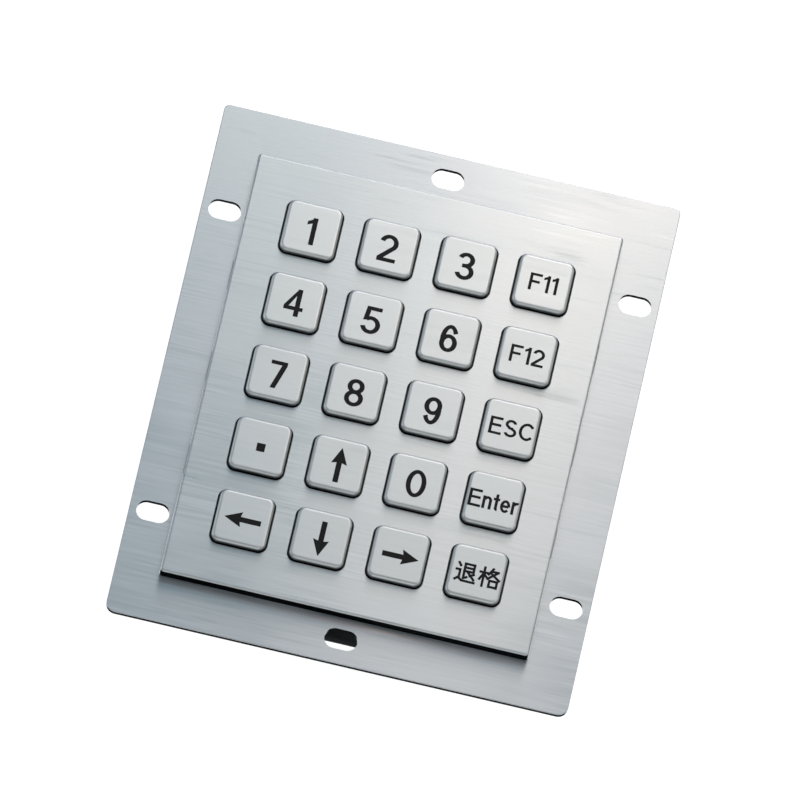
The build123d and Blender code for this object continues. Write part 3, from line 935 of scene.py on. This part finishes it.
signs = {**digits, **letters}
legends = {digit: word([digits[digit](digit_pen)], digit_height, 0) for digit in "0123456789"}
legends["dot"] = [box(-dot_side / 2, -dot_side / 2, dot_side / 2, dot_side / 2)]
for name, degrees in (("right", 0), ("up", 90), ("left", 180), ("down", 270)):
    legends[name] = arrow(degrees)
for label, gap in (("F11", letter_gap), ("F12", letter_gap), ("ESC", letter_gap), ("Enter", enter_gap)):
    legends[label.lower()] = word([signs[sign](letter_pen) for sign in label], letter_height, gap)
characters = [draw_character(strokes) for strokes in (strokes_of_back, strokes_of_square)]
legends["backspace"] = word(characters, character_height, character_gap)
print("legends:", sorted(legends))

# %% [markdown]
# ## Paint on the keys
# Each shape becomes a thin slab that reaches a little into the key and stands a hair above it. A
# Boolean modifier joins the slabs of a sign into one closed mesh. Its Manifold solver is the one
# that gives the same mesh at every run, even where two bows nearly touch all along their sides.

# %% Slabs of paint
decimals = 8


def slab(name, shape, low, high):
    """A closed slab, its outline rounded so that neighbouring slabs meet exactly."""
    mesh = bmesh.new()
    outline = [(round(x * mm, decimals), round(y * mm, decimals), low) for x, y in shape]
    face = mesh.faces.new([mesh.verts.new(point) for point in outline])
    raised = bmesh.ops.extrude_face_region(mesh, geom=[face])["geom"]
    raised_verts = [v for v in raised if isinstance(v, bmesh.types.BMVert)]
    bmesh.ops.translate(mesh, verts=raised_verts, vec=(0, 0, high - low))
    bmesh.ops.recalc_face_normals(mesh, faces=mesh.faces)
    return bpy.data.objects.new(name, as_data(name, mesh))


def evaluated_mesh(thing):
    """The mesh of an object as it looks after its modifiers."""
    bpy.context.view_layer.update()
    graph = bpy.context.evaluated_depsgraph_get()
    return bpy.data.meshes.new_from_object(thing.evaluated_get(graph))


def joined(name, shapes, low, high):
    """One closed mesh from slabs that overlap or meet."""
    first = slab(name, shapes[0], low, high)
    bpy.context.scene.collection.objects.link(first)
    others = [slab(f"{name}_{i}", shape, low, high) for i, shape in enumerate(shapes[1:])]
    spare = bpy.data.collections.new("spare")
    bpy.context.scene.collection.children.link(spare)
    for other in others:
        spare.objects.link(other)
    if others:
        union = first.modifiers.new("union", "BOOLEAN")
        union.operation = "UNION"
        union.operand_type = "COLLECTION"
        union.collection = spare
        union.solver = "MANIFOLD"
        result = evaluated_mesh(first)
        first.modifiers.clear()
        first.data = result
    for other in others:
        bpy.data.objects.remove(other)
    bpy.data.collections.remove(spare)
    return first


print("points of a slab of an arrow:", 2 * len(legends["up"][0]))

# %% Legends on the keys
paint_above, paint_below = 0.02, 0.1
# how far each legend lies right of the middle of its key and below it, in millimetres
usual_shift = (0.0, 0.38)
legend_shift = {
    "1": (-0.08, 0.62), "2": (-0.1, 0.38), "3": (-0.1, 0.38), "0": (0.18, 0.38), "dot": (0.18, 0.38),
    "up": (0.22, 0.22), "down": (0.19, 0.55), "left": (-0.08, 0.38), "right": (0.5, 0.38),
    "f11": (0.08, 0.18), "f12": (0.15, 0.18), "esc": (0.4, 0.25), "enter": (0.15, 0.35),
    "backspace": (0.3, 0.52),
}

legend_faces = 0
for name, shapes in legends.items():
    low, high = corners_of("key_" + name)
    middle = (low + high) / 2
    legend = joined("legend_" + name, shapes, high.z - paint_below * mm, high.z + paint_above * mm)
    right, drop = legend_shift.get(name, usual_shift)
    legend.location = (middle.x + right * mm, middle.y - drop * mm, 0)
    legend.data.materials.clear()
    legend.data.materials.append(finishes["legend_paint"])
    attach(legend, f"key_{name}_body")
    # the record has no slot for paint, and its black plastic comes nearest
    legend_faces += len(legend.data.polygons)
print("legend faces:", legend_faces)

# %% [markdown]
# ## Silicone keymat
# Under the keys lies one silicone sheet with a hollow dome for each key. A dome buckles when its
# key goes down, which no stiff piece can do, so sheet and domes are separate pieces here: sheet
# and domes stay with the housing, and the carbon pill inside each dome travels down with its key
# until it nearly meets the board's pads. The sheet is a filled curve, because a curve fills an
# outline with holes in one go. Domes and pills are turned pieces.

# %% Keymat sheet
ring_steps = 48
sheet_top = 1.2
weld_distance = 1e-7


def circle(x, y, radius):
    """Points round a circle, in metres."""
    angles = [2 * math.pi * i / ring_steps for i in range(ring_steps)]
    return [(x + radius * math.cos(a), y + radius * math.sin(a)) for a in angles]


def sheet_with_holes(name, loops, low, high):
    """A flat closed sheet: an outline and its holes as one filled 2D curve, given thickness."""
    curve = bpy.data.curves.new(name, "CURVE")
    curve.dimensions = "2D"
    curve.fill_mode = "BOTH"
    curve.extrude = (high - low) / 2
    for loop in loops:
        outline = curve.splines.new("POLY")
        outline.points.add(len(loop) - 1)
        for point, (x, y) in zip(outline.points, loop):
            point.co = (x, y, 0, 1)
        outline.use_cyclic_u = True
    drawn = put_in_scene(name, curve)
    filled = evaluated_mesh(drawn)
    bpy.data.objects.remove(drawn)
    mesh = bmesh.new()
    mesh.from_mesh(filled)
    bmesh.ops.remove_doubles(mesh, verts=mesh.verts, dist=weld_distance)
    bmesh.ops.translate(mesh, verts=mesh.verts, vec=(0, 0, (high + low) / 2))
    mesh.to_mesh(filled)
    mesh.free()
    return put_in_scene(name, filled)


print("a round hole has", len(circle(0, 0, mm)), "corners")

# %% The sheet's place and holes
# radii and wall in millimetres; the sheet reaches a small step inside the wall of each dome
dome_base_r, dome_top_r, dome_wall = 6.0, 4.0, 0.5
hole_step = 0.1
stud_r, stud_hole_r = 1.5, 1.7

mat_low, mat_high = corners_of("silicone_keymat")
stud_low, stud_high = corners_of("clamp_studs")
key_middles = {name: sum(corners_of("key_" + name), Vector()) / 2 for name in legends}
under_dome_r = dome_base_r - dome_wall - hole_step
sheet_loops = [box(mat_low.x, mat_low.y, mat_high.x, mat_high.y)]
for middle in key_middles.values():
    sheet_loops.append(circle(middle.x, middle.y, under_dome_r * mm))
for x in (stud_low.x + stud_r * mm, stud_high.x - stud_r * mm):
    for y in (stud_low.y + stud_r * mm, stud_high.y - stud_r * mm):
        sheet_loops.append(circle(x, y, stud_hole_r * mm))
keymat_sheet = sheet_with_holes("keymat_sheet", sheet_loops, mat_low.z, sheet_top * mm)
keymat_sheet.data.materials.append(finishes["grey_silicone"])
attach(keymat_sheet, "housing")
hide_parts("silicone_keymat")
print("keymat sheet in mm:", [round(v / mm, 2) for v in (*mat_low, *mat_high)])

# %% Turned pieces
def turned_piece(name, profile):
    """A closed piece made by turning an outline of (radius, height) in mm round Z."""
    mesh = bmesh.new()
    rings = []
    for radius, height in profile:
        if radius == 0:
            rings.append([mesh.verts.new((0, 0, height * mm))] * ring_steps)
        else:
            rings.append([mesh.verts.new((x, y, height * mm)) for x, y in circle(0, 0, radius * mm)])
    for first, second in zip(rings, rings[1:] + rings[:1]):
        for i in range(ring_steps):
            corners = list(dict.fromkeys([first[i - 1], first[i], second[i], second[i - 1]]))
            if len(corners) > 2:
                mesh.faces.new(corners)
    bmesh.ops.recalc_face_normals(mesh, faces=mesh.faces)
    return put_in_scene(name, as_data(name, mesh))


print("a turned piece has", ring_steps, "sides")

# %% Domes and pills
# in millimetres: the pill, and the bevels on its lower edge and round the top of the dome
pill_r, pill_low, pill_edge = 2.5, 0.72, 0.1
edge_out, edge_down = 0.15, 0.09
# how much of its height a dome keeps when its key is down
dome_keep = 0.5

dome_top = mat_high.z / mm
under_top = dome_top - dome_wall
dome_profile = [
    (dome_base_r - dome_wall, sheet_top), (dome_base_r, sheet_top),
    (dome_top_r + edge_out, dome_top - edge_down), (dome_top_r - edge_out, dome_top),
    (0, dome_top), (0, under_top), (dome_top_r - dome_wall, under_top),
]
pill_profile = [
    (0, pill_low), (pill_r - pill_edge, pill_low), (pill_r, pill_low + pill_edge), (pill_r, under_top),
    (0, under_top),
]
for name, middle in key_middles.items():
    dome = turned_piece("dome_" + name, dome_profile)
    pill = turned_piece("pill_" + name, pill_profile)
    for piece, body, slot in ((dome, "housing", "grey_silicone"), (pill, f"key_{name}_body", "black_rubber")):
        piece.location = (middle.x, middle.y, 0)
        piece.data.materials.append(finishes[slot])
        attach(piece, body)
    "press_" + name
    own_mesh(dome)
pressed_top = sheet_top + (dome_top - sheet_top) * dome_keep
print("dome top in mm:", round(dome_top, 2), "and pressed:", round(pressed_top, 2))
